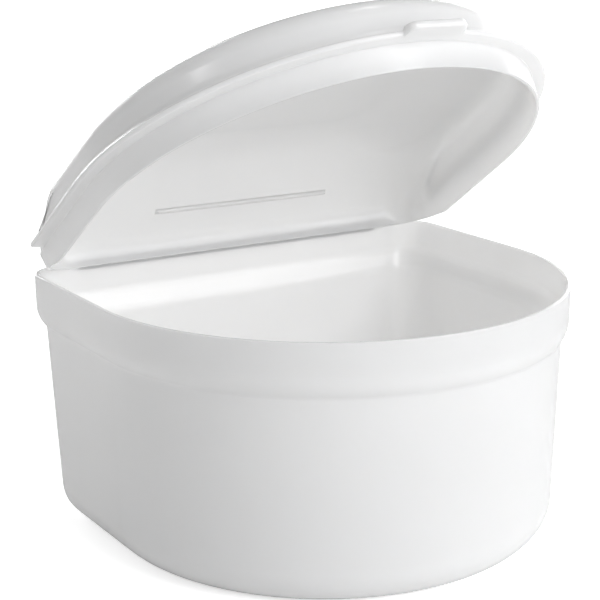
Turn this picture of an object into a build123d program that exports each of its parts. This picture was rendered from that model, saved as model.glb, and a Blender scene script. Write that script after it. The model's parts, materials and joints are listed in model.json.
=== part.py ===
from build123d import *

import math
import os

# Denture case: a one-shot polypropylene moulding made of a deep D-shaped tub, a domed lid
# that plugs into it, and the thin web that joins the two along the flat back.
# +Z is up, -Y is the rounded front, +Y the flat back with the hinge. The origin is the centre
# of the flat base. The lid stands part open, as it stays where it is put.

# ---- overall sizes, mm ----
tub_width = 90.0            # across the rim, outside
tub_depth = 79.3            # flat back to the round front, outside
tub_height = 47.2           # base to the top of the rim
largest_corner = 0.9        # of the run of the sides, behind the round front
back_corner_radius = 6.5    # outside corners of the rim, between the back and the sides
base_corner_radius = 8.5    # the same corners are rounder at the base

# ---- tub wall, mm ----
band_wall = 0.8             # the proud band under the rim
body_wall = 1.1             # below the band, and the floor
band_height = 6.2           # upright part of the band, down from the rim
step_height = 3.5           # the slope under the band, where the wall steps in
band_draft_inset = 0.1      # how far the foot of the band lies inside the rim
step_inset = 1.4            # how far the top of the body lies inside the rim
base_inset = 2.6            # how far the base lies inside the rim, by the mould's draft
base_edge_radius = 6.5
step_edge_radius = 1.0
rim_lead_in = 0.2           # small bevel round the inside of the rim

# ---- lid, mm: heights are above the rim plane of the lid, its flange's underside ----
lid_wall = 1.0
lid_gap = 0.15              # between the rim and the flange when the lid is shut
lid_side_inset = 1.2        # the lid's upright wall, inside the line of the rim
lid_back_inset = 0.4        # the lid's back land, inside the line of the rim
lid_corner_radius = 8.5     # the lid's corners at the hinge are rounder than the rim's
back_land_height = 1.3      # short upright land at the hinge
back_slope_angle = 31.0     # from the land the lid climbs towards its top
skirt_height = 5.8          # where the sides start to round over
shoulder_height = 4.8       # rise of the rounded shoulder
shoulder_width = 5.6        # and its reach inwards
shoulder_turn = 69.0        # of a quarter's 90 degrees, where the swell of the top takes over
crown_rise = 2.9            # the top swells this much more at its middle
crown_width = 18.0          # from the shoulder in to the flat middle of the top
crown_back_width = 9.7      # the same at the back
flange_overhang = 1.6       # the flange stands out past the rim
flange_edge_height = 1.0
flare_height = 3.6          # where the flare above the flange meets the upright wall
flange_root = 0.5           # the flare and the tab's root reach this deep into the wall
flange_stop = 9.7           # the flange ends this far in front of the back

# ---- plug lip under the lid, mm ----
lip_clearance = 0.12        # to the inside of the rim, at the root of the lip
lip_taper = 0.38            # the lip leans in by this much at its lower edge
lip_front_height = 4.6
lip_back_height = 1.6
lip_slope_length = 12.7     # the lip deepens over this length from the back
lip_wall = 0.98

# ---- thumb tab and stiffening rib on the lid, mm ----
tab_width = 11.6
tab_reach = 2.2             # past the flange
tab_thickness = 1.4
tab_offset = 1.0            # to the right of the middle
tab_corner_radius = 1.6
tab_edge_radius = 0.55
rib_length = 38.6
rib_from_back = 8.2
rib_width = 0.8
rib_drop = 0.55             # how far it stands down from the ceiling
rib_root = 0.6              # how far it reaches up into the wall

# ---- hinge, mm ----
web_width = 68.0
web_thickness = 0.35
web_foot = 1.5              # bonded height on the tub's back, down from the rim
web_foot_top = 0.1
web_leaf_bottom = 0.35
web_leaf_top = 1.1
pivot_behind_back = 0.2
pivot_above_rim = 0.4
lid_open_angle = 35.1       # how far the lid stands open here

# ---- working allowances, mm ----
level_slack = 0.01          # for finding the edges that lie at one height
root_slack = 0.1            # for telling the tab's free edges from its root
cutter_reach = 10.0         # how far a cutting shape runs clear of the part

# ---- worked-out places ----
half_width = tub_width / 2
back_y = tub_depth / 2
round_centre_y = back_y - (tub_depth - half_width)
lip_root_inset = band_wall + lip_clearance
slope_run = 1 / math.tan(math.radians(back_slope_angle))


def d_face(plane, height, inset, back_inset, corner_radius):
    """A D-shaped face, its sides and front pulled in by inset and its back by back_inset."""
    radius = half_width - inset
    line_y = back_y - back_inset
    corner_radius = min(corner_radius, largest_corner * (line_y - round_centre_y))
    corner_x = radius - corner_radius
    with BuildSketch(plane.offset(height)) as face:
        with BuildLine():
            back = Line((-corner_x, line_y), (corner_x, line_y))
            right_corner = JernArc(back @ 1, (1, 0), corner_radius, -90)
            right_side = Line(right_corner @ 1, (radius, round_centre_y))
            front = JernArc(right_side @ 1, (0, -1), radius, -180)
            left_side = Line(front @ 1, (-radius, line_y - corner_radius))
            JernArc(left_side @ 1, (0, 1), corner_radius, -90)
        make_face()
    return face.sketch.face()


# ---- tub ----
# The same four levels make the outside and, pulled in by the wall, the inside.
band_foot_z = tub_height - band_height
step_foot_z = band_foot_z - step_height


def edges_at(part, height):
    """The edges of the part that lie at one height."""
    return part.edges().filter_by_position(Axis.Z, height - level_slack, height + level_slack)


body_lean = (base_inset - step_inset) / step_foot_z
outside_levels = (
    (0, base_inset, base_corner_radius),
    (step_foot_z, step_inset, back_corner_radius),
    (band_foot_z, band_draft_inset, back_corner_radius),
    (tub_height, 0, back_corner_radius),
)
inside_levels = (
    (body_wall, base_inset - body_lean * body_wall + body_wall, base_corner_radius - body_wall),
    (step_foot_z, step_inset + body_wall, back_corner_radius - body_wall),
    (band_foot_z, band_draft_inset + band_wall, back_corner_radius - band_wall),
    (tub_height - rim_lead_in, band_wall, back_corner_radius - band_wall),
    (tub_height, band_wall - rim_lead_in, back_corner_radius - band_wall + rim_lead_in),
)

with BuildPart() as tub_inside:
    inside_faces = [d_face(Plane.XY, z, inset, inset, corner) for z, inset, corner in inside_levels]
    loft(inside_faces, ruled=True)
    fillet(edges_at(tub_inside, body_wall), base_edge_radius - body_wall)
    fillet(edges_at(tub_inside, step_foot_z) + edges_at(tub_inside, band_foot_z), step_edge_radius)

with BuildPart() as tub:
    outside_faces = [d_face(Plane.XY, z, inset, inset, corner) for z, inset, corner in outside_levels]
    loft(outside_faces, ruled=True)
    fillet(edges_at(tub, 0), base_edge_radius)
    fillet(edges_at(tub, step_foot_z) + edges_at(tub, band_foot_z), step_edge_radius)
    add(tub_inside.part, mode=Mode.SUBTRACT)

# ---- lid, made shut and then swung open about the hinge ----
lid_plane = Plane.XY.offset(tub_height + lid_gap)
shoulder_steps = 5          # levels that shape the rounded shoulder
crown_steps = 4             # and the swell of the top
lip_inner_inset = lip_root_inset + lip_wall


def dome_levels(wall, land_inset):
    """Height, insets and corner radius of the dome's levels, a wall's thickness inside its skin."""
    side = lid_side_inset + wall
    slope_inset = lid_back_inset + wall / math.sin(math.radians(back_slope_angle))
    land = back_land_height + (land_inset - slope_inset) / slope_run
    corner = lid_corner_radius - wall
    levels = [(land, side, land_inset, corner)]
    rise = shoulder_height - wall
    for step in range(shoulder_steps + 1):
        turn = math.radians(shoulder_turn * step / shoulder_steps)
        height = skirt_height + rise * math.sin(turn)
        reach = shoulder_width * (1 - math.cos(turn))
        behind = slope_inset + (height - back_land_height) * slope_run
        levels.append((height, side + reach, behind, corner + reach))
    top, top_side, top_behind, top_corner = levels[-1]
    for step in range(1, crown_steps + 1):
        share = step / crown_steps
        levels.append(
            (
                top + crown_rise * (1 - (1 - share) ** 2),
                top_side + crown_width * share,
                top_behind + crown_back_width * share,
                top_corner,
            )
        )
    return levels


def lid_face(height, inset, back_inset, corner_radius):
    return d_face(lid_plane, height, inset, back_inset, corner_radius)


outer_dome = dome_levels(0, lid_back_inset)
inner_dome = dome_levels(lid_wall, lip_inner_inset)
lip_corner_radius = lid_corner_radius - lip_root_inset

with BuildPart() as flange:
    flange_levels = (
        (0, -flange_overhang),
        (flange_edge_height, -flange_overhang),
        (flare_height, lid_side_inset + flange_root),
    )
    flange_faces = [
        lid_face(z, inset, lid_back_inset, lid_corner_radius) for z, inset in flange_levels
    ]
    loft(flange_faces, ruled=True)
    with BuildSketch(lid_plane):
        with Locations((0, back_y - flange_stop)):
            Rectangle(tub_width + 2 * cutter_reach, tub_depth, align=(Align.CENTER, Align.MIN))
    extrude(amount=flare_height, mode=Mode.SUBTRACT)

with BuildPart() as thumb_tab:
    tab_root_y = lid_side_inset + flange_root - back_y
    tab_length = lid_side_inset + flange_root + flange_overhang + tab_reach
    with BuildSketch(lid_plane) as tab_plan:
        with Locations((tab_offset, tab_root_y)):
            Rectangle(tab_width, tab_length, align=(Align.CENTER, Align.MAX))
        fillet(tab_plan.vertices().group_by(Axis.Y)[0], tab_corner_radius)
    extrude(amount=tab_thickness)
    outer_faces = thumb_tab.faces().filter_by(GeomType.PLANE).sort_by(Axis.Z)
    fillet(
        (outer_faces[0].edges() + outer_faces[-1].edges()).filter_by_position(
            Axis.Y, -tub_depth, tab_root_y - root_slack
        ),
        tab_edge_radius,
    )

with BuildPart() as stiffening_rib:
    slope_angle = math.radians(back_slope_angle)
    ceiling_inset = lid_back_inset + lid_wall / math.sin(slope_angle)
    rib_height = back_land_height + (rib_from_back - ceiling_inset) / slope_run
    rib_plane = Plane(
        origin=(0, back_y - rib_from_back, tub_height + lid_gap + rib_height),
        x_dir=(1, 0, 0),
        z_dir=(0, -math.sin(slope_angle), -math.cos(slope_angle)),
    )
    with BuildSketch(rib_plane.offset(-rib_root)):
        SlotOverall(rib_length, rib_width)
    extrude(amount=rib_root + rib_drop)

with BuildPart() as lid_inside:
    below_lip = (-cutter_reach, lip_inner_inset, lip_inner_inset, lip_corner_radius - lip_wall)
    loft([lid_face(*level) for level in (below_lip, *inner_dome)], ruled=True)

with BuildPart() as lid:
    lip_tip_inset = lip_root_inset + lip_taper
    loft(
        [
            lid_face(-lip_front_height, lip_tip_inset, lip_tip_inset, lip_corner_radius),
            lid_face(0, lip_root_inset, lip_root_inset, lip_corner_radius),
        ],
        ruled=True,
    )
    dome_foot = (0, lid_side_inset, lid_back_inset, lid_corner_radius)
    loft([lid_face(*level) for level in (dome_foot, *outer_dome)], ruled=True)
    add(flange.part)
    add(thumb_tab.part)
    add(lid_inside.part, mode=Mode.SUBTRACT)
    add(stiffening_rib.part)
    with BuildSketch(Plane.YZ):
        with BuildLine():
            lip_z = tub_height + lid_gap
            Polyline(
                (back_y, lip_z - lip_back_height),
                (back_y - lip_slope_length, lip_z - lip_front_height),
                (back_y - lip_slope_length, lip_z - cutter_reach),
                (back_y, lip_z - cutter_reach),
                close=True,
            )
        make_face()
    extrude(amount=half_width, both=True, mode=Mode.SUBTRACT)

# ---- living hinge: a thin web, moulded flat and bent at the line of the pivot ----
pivot_y = back_y + pivot_behind_back
pivot_z = tub_height + pivot_above_rim
hinge_axis = Axis((0, pivot_y, pivot_z), (-1, 0, 0))


def on_open_lid(y, z):
    """Where a point of the shut lid, in the plane across the hinge, lies once the lid is open."""
    turn = math.radians(lid_open_angle)
    back, up = y - pivot_y, z - pivot_z
    return (
        pivot_y + back * math.cos(turn) + up * math.sin(turn),
        pivot_z - back * math.sin(turn) + up * math.cos(turn),
    )


with BuildPart() as hinge_web:
    leaf_back_y = back_y - lid_back_inset
    leaf_z = tub_height + lid_gap
    with BuildSketch(Plane.YZ):
        with BuildLine():
            Polyline(
                (back_y, tub_height - web_foot),
                (back_y, tub_height + web_foot_top),
                on_open_lid(leaf_back_y, leaf_z + web_leaf_bottom),
                on_open_lid(leaf_back_y, leaf_z + web_leaf_top),
                on_open_lid(leaf_back_y + web_thickness, leaf_z + web_leaf_top),
                on_open_lid(leaf_back_y + web_thickness, leaf_z + web_leaf_bottom),
                (back_y + web_thickness, tub_height + web_foot_top),
                (back_y + web_thickness, tub_height - web_foot),
                close=True,
            )
        make_face()
    extrude(amount=web_width / 2, both=True)

open_lid = lid.part.rotate(hinge_axis, lid_open_angle)

os.makedirs("parts", exist_ok=True)
tub.part.label = "tub"
open_lid.label = "lid"
hinge_web.part.label = "hinge_web"
export_step(tub.part, "parts/tub.step")
export_step(open_lid, "parts/lid.step")
export_step(hinge_web.part, "parts/hinge_web.step")
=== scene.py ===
import json
import math

import bmesh
import bpy
from mathutils import Matrix, Vector


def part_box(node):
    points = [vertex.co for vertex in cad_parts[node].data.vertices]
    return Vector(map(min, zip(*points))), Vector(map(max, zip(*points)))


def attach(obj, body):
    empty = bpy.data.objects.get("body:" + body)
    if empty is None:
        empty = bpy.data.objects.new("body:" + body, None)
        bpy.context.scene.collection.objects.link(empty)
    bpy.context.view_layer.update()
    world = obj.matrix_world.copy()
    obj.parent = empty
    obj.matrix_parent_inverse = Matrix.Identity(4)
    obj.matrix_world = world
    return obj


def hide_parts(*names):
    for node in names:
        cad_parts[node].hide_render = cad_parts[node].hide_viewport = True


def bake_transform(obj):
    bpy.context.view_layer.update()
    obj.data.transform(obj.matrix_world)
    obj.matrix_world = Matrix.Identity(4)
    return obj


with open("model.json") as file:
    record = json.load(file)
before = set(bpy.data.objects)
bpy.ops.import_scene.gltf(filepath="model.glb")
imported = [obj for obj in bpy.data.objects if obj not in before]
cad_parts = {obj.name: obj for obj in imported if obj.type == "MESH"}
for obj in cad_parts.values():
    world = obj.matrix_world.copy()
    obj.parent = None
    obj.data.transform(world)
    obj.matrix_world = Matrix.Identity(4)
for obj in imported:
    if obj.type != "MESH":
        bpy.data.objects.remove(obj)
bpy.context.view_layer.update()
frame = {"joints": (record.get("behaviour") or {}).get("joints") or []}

# ---- Tub ----
# A D-shaped tub, injection moulded in white polypropylene in one shot with the lid and the hinge.
# An upright band runs under the rim, the wall steps in below it, and the base edge is rounded.
mm = 0.001
tub_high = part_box("tub")[1]
half_width = tub_high.x
tub_depth = 79.3 * mm
back_y = tub_depth / 2
rim_z = tub_high.z
round_y = half_width - back_y     # centre of the round front
front_steps = 56
side_steps = 8
corner_steps = 8
back_steps = 18
end_face_run = 0.25 * mm          # the end of the brim slants in over this run
front_run_share = 0.85            # of a straight side, where a ring has no brim
largest_corner = 0.9              # of the run of the sides
merge_reach = 0.001 * mm
bridge_room = 50 * mm             # how far a ring is lifted while it is joined

band_wall = 0.8 * mm
body_wall = 1.1 * mm
band_height = 6.2 * mm
step_height = 3.5 * mm
step_turns = 8
band_inset = 0.1 * mm
step_inset = 1.4 * mm
base_inset = 2.6 * mm
rim_corner = 6.5 * mm
base_corner = 8.5 * mm
base_edge = 6.5 * mm
step_edge = 1.0 * mm
step_foot_edge = 0.35 * mm
rim_edge = 0.22 * mm
foot_width = 4.0 * mm
base_recess = 0.35 * mm
recess_taper = 0.6 * mm
flat_corner = 1.5 * mm
gate_radius = 2.6 * mm
gate_recess = 0.3 * mm


def d_ring(bm, height, inset, back_inset, corner, brim=0.0, brim_end=0.0):
    """A closed D-shaped ring of edges; a brim, if any, widens it in front of brim_end."""
    old_verts = set(bm.verts)
    old_edges = set(bm.edges)
    radius = half_width - inset
    line_y = back_y - back_inset
    corner = min(corner, largest_corner * (line_y - round_y))
    side_run = line_y - corner - round_y
    front_run = brim_end - round_y if brim_end else side_run * front_run_share

    def sweep(end, centre, steps):
        turn = bmesh.ops.spin(
            bm, geom=[end], cent=centre, axis=(0, 0, 1), angle=math.pi / 2, steps=steps
        )
        return next(v for v in turn["geom_last"] if isinstance(v, bmesh.types.BMVert))

    def run(end, step, steps):
        for _ in range(steps):
            end = bmesh.ops.extrude_vert_indiv(bm, verts=[end])["verts"][0]
            bmesh.ops.translate(bm, vec=step, verts=[end])
        return end

    half = side_steps // 2
    end_run = min(end_face_run, (side_run - front_run) / half)
    end = bm.verts.new((0, round_y - radius - brim, height))
    end = sweep(end, (0, round_y, height), front_steps)
    end = run(end, (0, front_run / half, 0), half)
    end = run(end, (-brim, end_run, 0), 1)
    end = run(end, (0, (side_run - front_run - end_run) / (half - 1), 0), half - 1)
    end = sweep(end, (radius - corner, line_y - corner, height), corner_steps)
    run(end, (-(radius - corner) / back_steps, 0, 0), back_steps)
    made = [v for v in bm.verts if v not in old_verts]
    made += [e for e in bm.edges if e not in old_edges]
    bmesh.ops.mirror(bm, geom=made, axis="X", merge_dist=merge_reach)
    return [e for e in bm.edges if e not in old_edges]


def circle_ring(bm, height, radius):
    """A level circle about the middle, with as many edges as a D-shaped ring has."""
    count = 2 * (front_steps + side_steps + corner_steps + back_steps)
    made = bmesh.ops.create_circle(
        bm, segments=count, radius=radius, matrix=Matrix.Translation((0, 0, height))
    )
    return list({e for v in made["verts"] for e in v.link_edges})


def skin(bm, rings):
    """Faces from each ring to the next, which stands well away meanwhile, as level rings twist."""
    for ring, following in zip(rings, rings[1:]):
        near, far = ({v for e in edges for v in e.verts} for edges in (ring, following))
        rise = sum(v.co.z for v in far) - sum(v.co.z for v in near)
        away = Vector((0, 0, math.copysign(bridge_room, rise)))
        bmesh.ops.translate(bm, vec=away, verts=list(far))
        bmesh.ops.bridge_loops(bm, edges=ring + following)
        bmesh.ops.translate(bm, vec=-away, verts=list(far))


def round_edges(bm, edges, radius, segments):
    """Rounds the edges that still belong to the mesh."""
    bmesh.ops.bevel(
        bm, geom=[e for e in edges if e.is_valid], offset=radius, offset_type="OFFSET",
        segments=segments, profile=0.5, affect="EDGES", clamp_overlap=False, material=-1
    )


def moulding(bm, name, material):
    """A shown piece made from the mesh, smooth, with its normals led by the larger faces."""
    bmesh.ops.dissolve_degenerate(bm, dist=merge_reach, edges=bm.edges)
    bmesh.ops.recalc_face_normals(bm, faces=bm.faces)
    if bm.calc_volume(signed=True) < 0:
        bmesh.ops.reverse_faces(bm, faces=bm.faces)
    for face in bm.faces:
        face.smooth = True
    mesh = bpy.data.meshes.new(name)
    bm.to_mesh(mesh)
    bm.free()
    piece = bpy.data.objects.new(name, mesh)
    bpy.context.scene.collection.objects.link(piece)
    piece.data.materials.append(material)
    even = piece.modifiers.new("even_normals", "WEIGHTED_NORMAL")
    even.keep_sharp = True
    even.weight = 100
    return piece


def case_plastic(name, colour, smudge_scale, scatter):
    """White polypropylene, glossy as moulded: faint waviness, a fine peel and a few smudges."""
    material = bpy.data.materials.new(name)
    material.use_nodes = True
    nodes, links = material.node_tree.nodes, material.node_tree.links
    shader = nodes["Principled BSDF"]
    shader.inputs["IOR"].default_value = 1.49
    shader.inputs["Subsurface Weight"].default_value = 1.0
    shader.inputs["Subsurface Radius"].default_value = (1.0, 0.98, 0.95)
    shader.inputs["Subsurface Scale"].default_value = scatter
    place = nodes.new("ShaderNodeTexCoord")

    def noise(scale, detail, turn=0.0):
        mapping = nodes.new("ShaderNodeMapping")
        mapping.inputs["Rotation"].default_value = (turn, turn / 2, turn)
        links.new(place.outputs["Object"], mapping.inputs["Vector"])
        texture = nodes.new("ShaderNodeTexNoise")
        texture.inputs["Scale"].default_value = scale
        texture.inputs["Detail"].default_value = detail
        links.new(mapping.outputs["Vector"], texture.inputs["Vector"])
        return texture.outputs["Fac"]

    def spread(value, low, high):
        remap = nodes.new("ShaderNodeMapRange")
        ends = {"From Min": 0.2, "From Max": 0.8, "To Min": low, "To Max": high}
        for socket, number in ends.items():
            remap.inputs[socket].default_value = number
        links.new(value, remap.inputs["Value"])
        return remap.outputs["Result"]

    shade = [part * 0.985 for part in colour]
    cloud = noise(smudge_scale, detail=3)
    tint = nodes.new("ShaderNodeMix")
    tint.data_type = "RGBA"
    tint.inputs[6].default_value = (*shade, 1)
    tint.inputs[7].default_value = (*colour, 1)
    links.new(spread(cloud, 0, 1), tint.inputs[0])
    links.new(tint.outputs[2], shader.inputs["Base Color"])

    smudge = noise(smudge_scale * 3, detail=2, turn=0.6)
    links.new(spread(smudge, 0.19, 0.25), shader.inputs["Roughness"])

    waves = noise(scale=90, detail=1)
    peel = noise(scale=1400, detail=1, turn=0.3)
    peel_share = 0.02
    height = nodes.new("ShaderNodeMath")
    height.operation = "MULTIPLY_ADD"
    height.inputs[1].default_value = peel_share
    links.new(peel, height.inputs[0])
    links.new(waves, height.inputs[2])
    bump = nodes.new("ShaderNodeBump")
    bump.inputs["Strength"].default_value = 1.0
    bump.inputs["Distance"].default_value = 0.02 * mm
    links.new(height.outputs[0], bump.inputs["Height"])
    links.new(bump.outputs["Normal"], shader.inputs["Normal"])
    return material


case_white = (0.92, 0.92, 0.92)
tub_plastic = case_plastic("tub_plastic", case_white, smudge_scale=45, scatter=4 * mm)

step_foot_z = rim_z - band_height - step_height
band_foot_z = rim_z - band_height
lean = (base_inset - step_inset) / step_foot_z
flat_inset = base_inset + base_edge + foot_width
recess_inset = flat_inset + recess_taper

tub = bmesh.new()
gate_floor = circle_ring(tub, base_recess + gate_recess, gate_radius - gate_recess)
gate_rim = circle_ring(tub, base_recess, gate_radius)
recess_top = d_ring(tub, base_recess, recess_inset, recess_inset, flat_corner)
recess_foot = d_ring(tub, 0, flat_inset, flat_inset, flat_corner)
base_ring = d_ring(tub, 0, base_inset, base_inset, base_corner)
step_turn = 2 * math.atan((step_inset - band_inset) / step_height)
step_radius = step_height / math.sin(step_turn)
outer_step = []
for row in range(step_turns, -1, -1):
    turn = step_turn * row / step_turns
    inset = band_inset + step_radius * (1 - math.cos(turn))
    outer_step.append(
        d_ring(tub, band_foot_z - step_radius * math.sin(turn), inset, inset, rim_corner)
    )
outer_rim = d_ring(tub, rim_z, 0, 0, rim_corner)
inner_rim = d_ring(tub, rim_z, band_wall, band_wall, rim_corner - band_wall)
inner_band_foot = d_ring(
    tub, band_foot_z, band_inset + band_wall, band_inset + band_wall, rim_corner - band_wall
)
inner_step_foot = d_ring(
    tub, step_foot_z, step_inset + body_wall, step_inset + body_wall, rim_corner - body_wall
)
floor_inset = base_inset - lean * body_wall + body_wall
floor_ring = d_ring(tub, body_wall, floor_inset, floor_inset, base_corner - body_wall)
floor_middle = circle_ring(tub, body_wall, gate_radius)
skin(tub, [
    gate_floor, gate_rim, recess_top, recess_foot, base_ring, *outer_step, outer_rim, inner_rim,
    inner_band_foot, inner_step_foot, floor_ring, floor_middle
])
bmesh.ops.contextual_create(tub, geom=gate_floor)
bmesh.ops.contextual_create(tub, geom=floor_middle)
round_edges(tub, base_ring, base_edge, segments=14)
round_edges(tub, floor_ring, base_edge - body_wall, segments=12)
round_edges(tub, outer_step[0], step_foot_edge, segments=4)
round_edges(tub, inner_step_foot + inner_band_foot, step_edge, segments=5)
round_edges(tub, outer_rim + inner_rim, rim_edge, segments=4)
tub_piece = moulding(tub, "tub_moulding", tub_plastic)
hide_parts("tub")
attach(tub_piece, "tub")

# ---- Lid ----
# The lid is the same moulding: a low dome with a plug lip that fits inside the rim, and a brim that
# flares out over it and stops short of the hinge. It has a thumb tab at the front and one thin rib
# inside the sloping back.
hinge = frame["joints"][0]
pivot = Vector(hinge["pos_m"])
open_turn = math.radians(-hinge["range_deg"][0])

lid_gap = 0.15 * mm               # under the brim, when shut
lid_z = rim_z + lid_gap
lid_wall = 1.0 * mm
lid_inset = 1.2 * mm
lid_corner = 8.5 * mm
back_inset = 0.4 * mm
land_height = 1.3 * mm
back_slope = math.radians(31)
slope_run = 1 / math.tan(back_slope)
skirt_height = 5.8 * mm
shoulder_height = 4.8 * mm
shoulder_width = 5.6 * mm
shoulder_turn = math.radians(69)
shoulder_steps = 12
crown_rise = 2.9 * mm
crown_width = 18.0 * mm
crown_behind = 9.7 * mm
crown_steps = 14
brim_overhang = 1.6 * mm
brim_edge = 1.0 * mm
brim_round = 0.42 * mm
brim_round_steps = 4
flare_height = 3.6 * mm
flare_steps = 6
brim_stop_y = back_y - 9.7 * mm

lip_root = 0.92 * mm
lip_tip = 1.3 * mm
lip_inner = 1.9 * mm
lip_front = 4.6 * mm
lip_back = 1.6 * mm
lip_slope_length = 12.7 * mm

tab_half = 5.8 * mm
tab_middle = 1.0 * mm
tab_reach = 2.2 * mm
tab_thickness = 1.4 * mm
tab_corner = 1.6 * mm
tab_corner_cuts = 4

rib_half = 19.3 * mm
rib_from_back = 8.2 * mm
rib_width = 1.0 * mm
rib_drop = 0.5 * mm
rib_round = 0.44 * mm
lid_edge = 0.2 * mm
back_blend = 2.4 * mm
touching = 0.01 * mm              # how near a point counts as being on a plane
in_plane = 0.05 * mm              # and a face, which may lie between two rows
nose_room = 0.5 * mm
tab_room = 2 * mm


def dome_rings(bm, wall, land_inset):
    """Rings of the dome from the foot of its side to its middle, set in by a wall or none."""
    side = lid_inset + wall
    slope_inset = back_inset + wall / math.sin(back_slope)
    land = land_height + (land_inset - slope_inset) / slope_run
    corner = lid_corner - wall

    def behind(height):
        return max(land_inset, slope_inset + (height - land_height) * slope_run)

    rings = []
    if wall:
        rings.append(d_ring(bm, lid_z + land, side, land_inset, corner))
    else:
        rings += [flare_ring(bm, (step / flare_steps) ** 2) for step in range(1, flare_steps + 1)]
    for step in range(shoulder_steps + 1):
        turn = shoulder_turn * step / shoulder_steps
        height = skirt_height + (shoulder_height - wall) * math.sin(turn)
        reach = shoulder_width * (1 - math.cos(turn))
        rings.append(d_ring(bm, lid_z + height, side + reach, behind(height), corner + reach))
    shoulder_top = height
    for step in range(1, crown_steps + 1):
        share = step / crown_steps
        rings.append(
            d_ring(
                bm, lid_z + shoulder_top + crown_rise * (1 - (1 - share) ** 2),
                side + reach + crown_width * share, behind(shoulder_top) + crown_behind * share,
                corner + reach
            )
        )
    return rings


def flare_ring(bm, share):
    """A ring of the hollow flare; share goes from the brim's upper edge to the upright wall."""
    height = brim_edge + (flare_height - brim_edge) * share
    brim = (lid_inset + brim_overhang) * (1 - math.sqrt(1 - (1 - share) ** 2))
    back = back_inset + max(0.0, height - land_height) * slope_run
    return d_ring(bm, lid_z + height, lid_inset, back, lid_corner, brim, brim_stop_y)


lid = bmesh.new()
lip_corner = lid_corner - lip_root
brim_reach = lid_inset + brim_overhang
lip_tip_inner = d_ring(lid, lid_z, lip_inner, lip_inner, lip_corner - lid_wall)
lip_tip_outer = d_ring(lid, lid_z, lip_tip, lip_tip, lip_corner)
lip_root_outer = d_ring(lid, lid_z, lip_root, lip_root, lip_corner)
brim_nose = []
for nose_middle, first in ((brim_edge - brim_round, 1), (brim_round, 0)):
    for step in range(brim_round_steps + 1):
        turn = math.pi / 2 * (first - step / brim_round_steps)
        brim_nose.append(
            d_ring(
                lid, lid_z + nose_middle + brim_round * math.sin(turn), lid_inset, back_inset,
                lid_corner, brim_reach - brim_round * (1 - math.cos(turn)), brim_stop_y
            )
        )
for vertex in {v for edge in lip_tip_inner + lip_tip_outer for v in edge.verts}:
    share = min(1, (back_y - vertex.co.y) / lip_slope_length)
    vertex.co.z -= lip_back + (lip_front - lip_back) * share
outer_rings = dome_rings(lid, 0, back_inset)
inner_rings = dome_rings(lid, lid_wall, lip_inner)
skin(lid, [
    *reversed(outer_rings), *brim_nose, lip_root_outer, lip_tip_outer, lip_tip_inner, *inner_rings
])
bmesh.ops.contextual_create(lid, geom=outer_rings[-1])
bmesh.ops.contextual_create(lid, geom=inner_rings[-1])
bmesh.ops.recalc_face_normals(lid, faces=lid.faces)


def sharp_edges(bm, degrees):
    """The edges where the skin turns by more than so many degrees."""
    bm.normal_update()
    return [e for e in bm.edges if e.is_manifold and e.calc_face_angle() > math.radians(degrees)]


blend = [e for e in inner_rings[0] if e.calc_face_angle() > math.radians(20)]
round_edges(lid, blend, back_blend, segments=7)


def cut(bm, faces, point, normal):
    """Cuts the faces with a plane and returns them with the new ones."""
    parts = {p for face in faces for p in (face, *face.edges, *face.verts)}
    made = bmesh.ops.bisect_plane(bm, geom=list(parts), plane_co=point, plane_no=normal)
    return [f for f in made["geom"] if isinstance(f, bmesh.types.BMFace)]


def raise_faces(bm, faces):
    """Draws the faces out of the skin and returns their new vertices."""
    made = bmesh.ops.extrude_face_region(bm, geom=faces)["geom"]
    bmesh.ops.delete(bm, geom=faces, context="FACES")
    return [v for v in made if isinstance(v, bmesh.types.BMVert)]


tab_left = tab_middle - tab_half
tab_right = tab_middle + tab_half
nose_radius = half_width + brim_overhang
tab_tip_y = round_y - nose_radius - tab_reach
nose_y = round_y - nose_radius + brim_round


def on_nose(face):
    """Whether a face is on the outer side of the brim's edge, near the tab."""
    middle = face.calc_center_median()
    return (
        face.normal.y < -0.1 and middle.y < nose_y + nose_room
        and lid_z < middle.z < lid_z + brim_edge and abs(middle.x) < tab_right + tab_room
    )


brim_faces = [f for f in lid.faces if on_nose(f)]
for corner_cut in range(tab_corner_cuts + 1):
    from_side = tab_corner * (1 - math.cos(math.pi / 2 * corner_cut / tab_corner_cuts))
    for side in (tab_left + from_side, tab_right - from_side):
        brim_faces = cut(lid, brim_faces, (side, 0, 0), (1, 0, 0))
tab_faces = [f for f in brim_faces if tab_left < f.calc_center_median().x < tab_right]
tab_tip = raise_faces(lid, tab_faces)
for vertex in tab_tip:
    set_back = nose_radius - math.hypot(vertex.co.x, vertex.co.y - round_y)
    inwards = max(0, tab_corner - tab_half + abs(vertex.co.x - tab_middle))
    set_back += tab_corner - math.sqrt(max(0, tab_corner ** 2 - inwards ** 2))
    vertex.co.y = tab_tip_y + set_back
    vertex.co.z = lid_z + (vertex.co.z - lid_z) * tab_thickness / brim_edge

slope_way = Vector((0, -math.cos(back_slope), math.sin(back_slope)))
slope_normal = Vector((0, -math.sin(back_slope), -math.cos(back_slope)))
rib_run = rib_from_back - back_inset - lid_wall / math.sin(back_slope)
rib_height = land_height + rib_run / slope_run
rib_middle = Vector((0, back_y - rib_from_back, lid_z + rib_height))


def from_rib(face, way):
    """How far a face is from the middle of the rib along one way."""
    return abs((face.calc_center_median() - rib_middle).dot(way))


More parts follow.
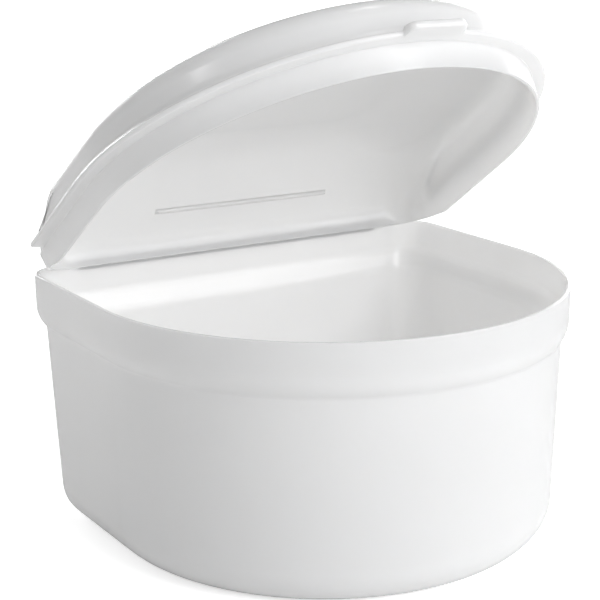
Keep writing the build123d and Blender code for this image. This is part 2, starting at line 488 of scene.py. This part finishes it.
ceiling = [
    f for f in lid.faces
    if f.normal.dot(slope_normal) > 0.999 and from_rib(f, slope_normal) < in_plane
]
for offset in (-rib_width / 2, rib_width / 2):
    ceiling = cut(lid, ceiling, rib_middle + slope_way * offset, slope_way)
for side in (-rib_half, rib_half):
    ceiling = cut(lid, ceiling, (side, 0, 0), (1, 0, 0))
along_rib = Vector((1, 0, 0))
rib_faces = [
    f for f in ceiling
    if from_rib(f, slope_way) < rib_width / 2 and from_rib(f, along_rib) < rib_half
]
rib_top = raise_faces(lid, rib_faces)
bmesh.ops.translate(lid, vec=slope_normal * rib_drop, verts=rib_top)
rib_edges = [e for e in sharp_edges(lid, degrees=35) if all(v in rib_top for v in e.verts)]
round_edges(lid, rib_edges, rib_round, segments=5)


def is_fine(edge):
    """Whether an edge is on the tab or on the narrow ledge outside the lip, behind the brim."""
    def on_tab(spot):
        from_side = min(abs(spot.x - tab_left), abs(spot.x - tab_right))
        return spot.y < round_y - nose_radius or from_side < touching

    def on_ledge(spot):
        return spot.y > brim_stop_y and abs(spot.z - lid_z) < touching

    return all(on_tab(v.co) or on_ledge(v.co) for v in edge.verts)


lid_edges = [e for e in sharp_edges(lid, degrees=35) if not is_fine(e)]
round_edges(lid, lid_edges, lid_edge, segments=3)
opening = Matrix.Rotation(open_turn, 3, Vector(hinge["axis"]))
bmesh.ops.rotate(lid, verts=lid.verts, cent=pivot, matrix=opening)
lid_plastic = case_plastic("lid_plastic", case_white, smudge_scale=38, scatter=4 * mm)
lid_piece = moulding(lid, "lid_moulding", lid_plastic)
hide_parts("lid")
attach(lid_piece, "lid")

# ---- Hinge strip ----
# The living hinge is a thin web of the same polypropylene, moulded with the tub and the lid. It is
# bonded to the tub's back under the rim and to the lid's back land, and is a little whiter all over
# than the case, as a bent hinge whitens.
strip_half = 34 * mm
strip_thickness = 0.3 * mm
strip_foot = 1.45 * mm
strip_foot_top = 0.25 * mm
strip_leaf_low = 0.3 * mm
strip_leaf_high = 1.1 * mm
strip_bulge = 0.1 * mm
strip_bend_rows = 4
strip_columns = 28
strip_edge = 0.06 * mm


def on_open_lid(y, z):
    """A point of the shut lid's back, swung open about the hinge."""
    return pivot + opening @ (Vector((0, y, z)) - pivot)


foot_low = Vector((0, back_y - band_inset * strip_foot / band_height, rim_z - strip_foot))
foot_top = Vector((0, back_y - band_inset * strip_foot_top / band_height, rim_z - strip_foot_top))
leaf_low = on_open_lid(back_y - back_inset, lid_z + strip_leaf_low)
leaf_high = on_open_lid(back_y - back_inset, lid_z + strip_leaf_high)
bulge = Vector((0, back_y + strip_bulge, rim_z + strip_foot_top))

rows = [foot_low, foot_top]
for row in range(1, strip_bend_rows):
    share = row / strip_bend_rows
    rows.append(
        foot_top * (1 - share) ** 2 + bulge * 2 * share * (1 - share) + leaf_low * share ** 2
    )
rows += [leaf_low, leaf_high]

strip = bmesh.new()
edge_row = []
end = strip.verts.new(rows[0] - Vector((strip_half, 0, 0)))
for _ in range(strip_columns):
    drawn = bmesh.ops.extrude_vert_indiv(strip, verts=[end])
    end = drawn["verts"][0]
    edge_row += drawn["edges"]
    bmesh.ops.translate(strip, vec=(2 * strip_half / strip_columns, 0, 0), verts=[end])
for previous, following in zip(rows, rows[1:]):
    drawn = bmesh.ops.extrude_edge_only(strip, edges=edge_row)["geom"]
    edge_row = [e for e in drawn if isinstance(e, bmesh.types.BMEdge)]
    moved = [v for v in drawn if isinstance(v, bmesh.types.BMVert)]
    bmesh.ops.translate(strip, vec=following - previous, verts=moved)
bmesh.ops.recalc_face_normals(strip, faces=strip.faces)
if strip.faces[0].normal.y > 0:
    bmesh.ops.reverse_faces(strip, faces=strip.faces)
bmesh.ops.solidify(strip, geom=strip.faces[:], thickness=strip_thickness)
round_edges(strip, sharp_edges(strip, degrees=50), strip_edge, segments=2)
web_white = (0.94, 0.94, 0.94)
web_plastic = case_plastic("web_plastic", web_white, smudge_scale=60, scatter=0.5 * mm)
strip_piece = moulding(strip, "hinge_strip", web_plastic)
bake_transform(strip_piece)
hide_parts("hinge_web")

# ---- Floor, light and camera ----
# A pale sweep under soft studio light: a broad key and a low lamp from the front right, one each
# from the side and from behind, two narrow ones for glints on the dome, and an even surround.
photo_size = 600
floor = bmesh.new()
bmesh.ops.create_grid(floor, x_segments=1, y_segments=1, size=6)
floor_mesh = bpy.data.meshes.new("floor")
floor.to_mesh(floor_mesh)
floor.free()
floor_piece = bpy.data.objects.new("floor", floor_mesh)
bpy.context.scene.collection.objects.link(floor_piece)

floor_material = bpy.data.materials.new("floor_white")
floor_material.use_nodes = True
nodes, links = floor_material.node_tree.nodes, floor_material.node_tree.links
floor_shader = nodes["Principled BSDF"]
floor_shader.inputs["Base Color"].default_value = (0.9, 0.9, 0.9, 1)
floor_shader.inputs["Roughness"].default_value = 0.8
floor_shader.inputs["Specular IOR Level"].default_value = 0
floor_shader.inputs["Emission Color"].default_value = (1, 1, 1, 1)
ray = nodes.new("ShaderNodeLightPath")
lift = nodes.new("ShaderNodeMath")
lift.operation = "MULTIPLY"
lift.inputs[1].default_value = 0.6             # the camera sees it nearly white, with its shadow
links.new(ray.outputs["Is Camera Ray"], lift.inputs[0])
links.new(lift.outputs[0], floor_shader.inputs["Emission Strength"])
floor_piece.data.materials.append(floor_material)

world = bpy.data.worlds.new("surround")
bpy.context.scene.world = world
world.use_nodes = True
nodes, links = world.node_tree.nodes, world.node_tree.links
surround = nodes["Background"]
surround.inputs["Color"].default_value = (1, 1, 1, 1)
ray = nodes.new("ShaderNodeLightPath")
seen = nodes.new("ShaderNodeMath")
seen.operation = "MAXIMUM"
links.new(ray.outputs["Is Camera Ray"], seen.inputs[0])
links.new(ray.outputs["Is Transmission Ray"], seen.inputs[1])
strength = nodes.new("ShaderNodeMapRange")     # dim as a light, white behind the case
strength.inputs["To Min"].default_value = 0.3
strength.inputs["To Max"].default_value = 1.0
links.new(seen.outputs[0], strength.inputs["Value"])
links.new(strength.outputs["Result"], surround.inputs["Strength"])


def direction(round_from_front, above):
    """The way to a place so many degrees round from the front and so many above the level."""
    turn, tilt = math.radians(round_from_front), math.radians(above)
    level = math.cos(tilt)
    return Vector((math.sin(turn) * level, -math.cos(turn) * level, math.sin(tilt)))


def softbox(name, round_from_front, above, distance, width, height, power):
    """A rectangular lamp turned to face the case."""
    lamp = bpy.data.lights.new(name, "AREA")
    lamp.shape = "RECTANGLE"
    lamp.size = width
    lamp.size_y = height
    lamp.energy = power
    holder = bpy.data.objects.new(name, lamp)
    way = direction(round_from_front, above)
    holder.location = Vector((0, 0, rim_z)) + way * distance
    holder.rotation_euler = way.to_track_quat("Z", "Y").to_euler()
    bpy.context.scene.collection.objects.link(holder)


# Degrees round and up, distance, width and height in m, and watts.
softbox("key", 19, 34, 1.6, 1.0, 0.7, 12.5)
softbox("low", 30, 8, 1.6, 1.0, 0.7, 9)
softbox("side", 120, 10, 1.6, 1.0, 0.7, 7)
softbox("far", 180, 10, 1.6, 1.0, 0.7, 11)
softbox("glint_left", -83, 34.5, 1.2, 0.26, 0.04, 0.8)
softbox("glint_top", 120, 65, 1.2, 0.2, 0.05, 0.6)

camera_target = Vector((0, 4.65 * mm, rim_z))
camera_distance = 297.84 * mm
pixels_per_mm = 5.43              # in the picture, at the distance of the rim
middle_x = 326.62                 # where the target is seen, in pixels from the left and the top
middle_y = 276.50
toward_camera = direction(-32.52, 13.68)
lens = bpy.data.cameras.new("camera")
lens.sensor_width = 36
lens.lens = pixels_per_mm * camera_distance / mm / photo_size * lens.sensor_width
lens.shift_x = (photo_size / 2 - middle_x) / photo_size
lens.shift_y = (middle_y - photo_size / 2) / photo_size
lens.clip_start = 10 * mm
camera = bpy.data.objects.new("camera", lens)
camera.location = camera_target + toward_camera * camera_distance
camera.rotation_euler = toward_camera.to_track_quat("Z", "Y").to_euler()
bpy.context.scene.collection.objects.link(camera)
bpy.context.scene.camera = camera
bpy.context.scene.view_settings.view_transform = "Standard"
